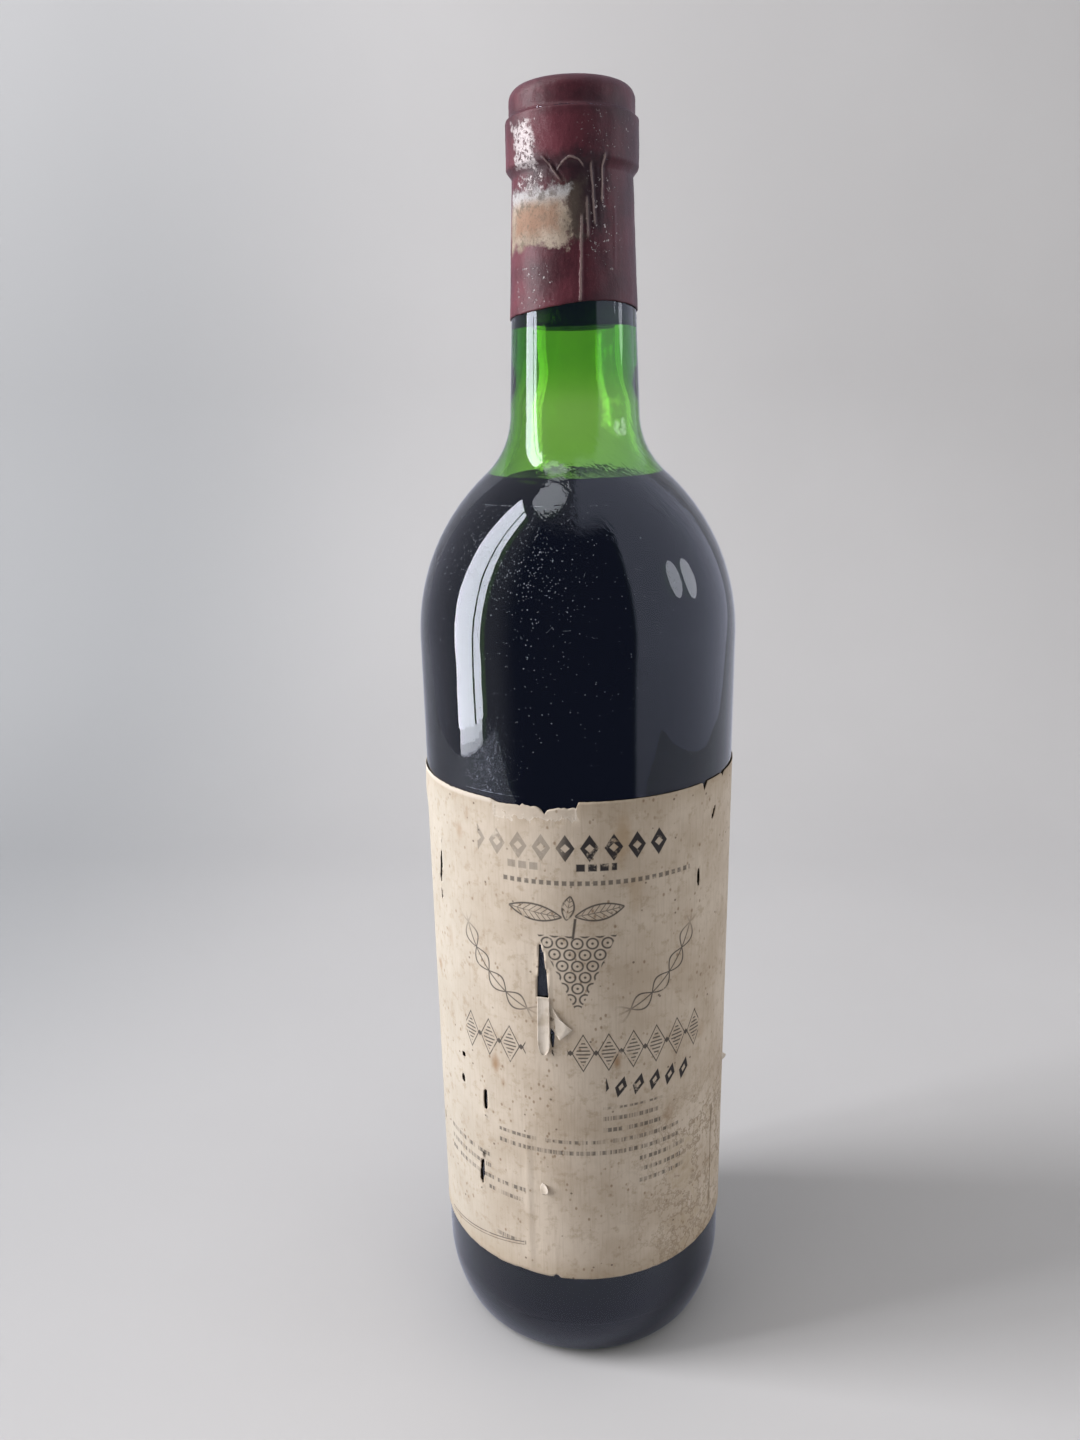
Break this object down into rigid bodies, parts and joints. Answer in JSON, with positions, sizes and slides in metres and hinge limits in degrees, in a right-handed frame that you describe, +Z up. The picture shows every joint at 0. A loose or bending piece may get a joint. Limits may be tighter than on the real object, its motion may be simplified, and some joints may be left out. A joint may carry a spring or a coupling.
{
  "type": "wine bottle",
  "caption": "Straight-sided high-shouldered green glass wine bottle, corked and filled with red wine, with a worn foil capsule and a torn, aged paper label round the front.",
  "frame": {"origin": "centre of the foot, on the surface that the bottle stands on", "axes": "+Z up along the bottle's axis, the label's front faces -Y"},
  "size_m": [0.0752, 0.0751, 0.2983],
  "materials": {
    "glass": "gloss green bottle glass",
    "wine": "dark red liquid",
    "cork": "fine-grained cork",
    "foil": "worn satin lacquer on foil",
    "paper": "matt aged paper"
  },
  "bodies": {
    "root": {"glass_bottle": "glass", "wine": "wine", "cork": "cork", "capsule": "foil", "label": "paper"}
  },
  "joints": []
}
